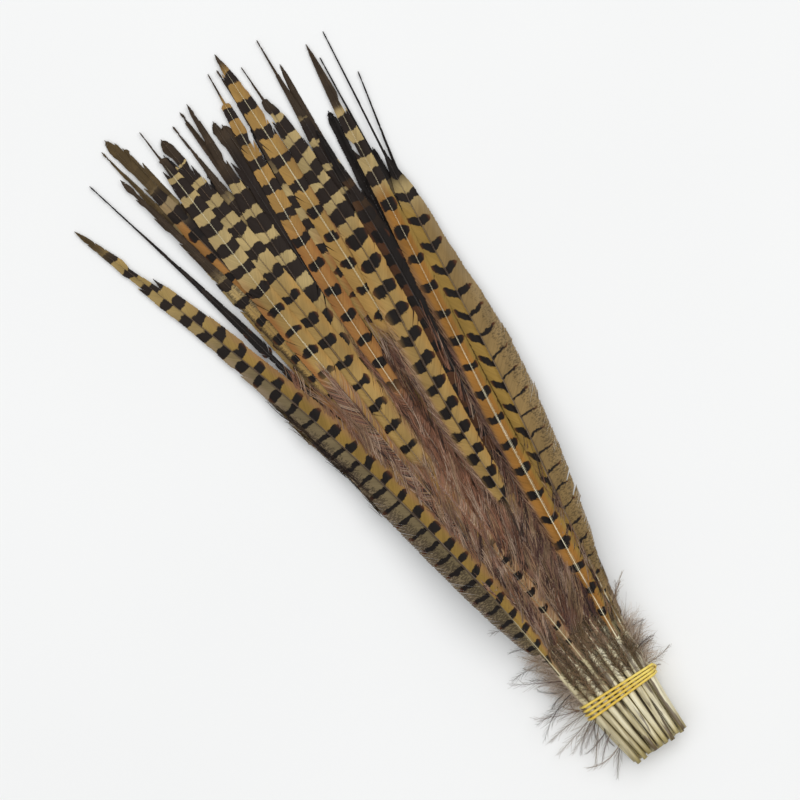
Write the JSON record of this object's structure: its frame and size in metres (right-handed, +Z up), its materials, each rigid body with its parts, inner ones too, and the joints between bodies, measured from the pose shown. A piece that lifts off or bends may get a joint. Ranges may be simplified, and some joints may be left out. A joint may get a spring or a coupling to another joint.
{
  "type": "bundle of tail feathers",
  "caption": "Flat fan of long barred pheasant tail feathers, with shafts cut level and bound near the cut ends by a wound rubber band.",
  "frame": {"origin": "centre of the bunch's bounding box, at the height of the surface it lies on", "axes": "+Y from the cut quill ends towards the tips, +Z up from the surface, +X to the right when seen from above with the tips pointing away"},
  "size_m": [0.131, 0.3282, 0.0225],
  "materials": {
    "feather": "soft, slightly silky barbs, barred dark brown on olive tan and chestnut, with straw-coloured shafts",
    "band_rubber": "dull translucent yellow"
  },
  "bodies": {
    "root": {"feather_bottom_1": "feather", "feather_bottom_2": "feather", "feather_bottom_3": "feather", "feather_bottom_4": "feather", "feather_bottom_5": "feather", "feather_bottom_6": "feather", "feather_bottom_7": "feather", "feather_bottom_8": "feather", "feather_lower_1": "feather", "feather_lower_2": "feather", "feather_lower_3": "feather", "feather_lower_4": "feather", "feather_lower_5": "feather", "feather_lower_6": "feather", "feather_lower_7": "feather", "feather_lower_8": "feather", "feather_lower_9": "feather", "feather_upper_1": "feather", "feather_upper_2": "feather", "feather_upper_3": "feather", "feather_upper_4": "feather", "feather_upper_5": "feather", "feather_upper_6": "feather", "feather_upper_7": "feather", "feather_upper_8": "feather", "feather_upper_9": "feather", "feather_top_1": "feather", "feather_top_2": "feather", "feather_top_3": "feather", "feather_top_4": "feather", "feather_top_5": "feather", "feather_top_6": "feather", "feather_top_7": "feather", "feather_top_8": "feather", "feather_top_9": "feather", "rubber_band": "band_rubber"}
  },
  "joints": []
}
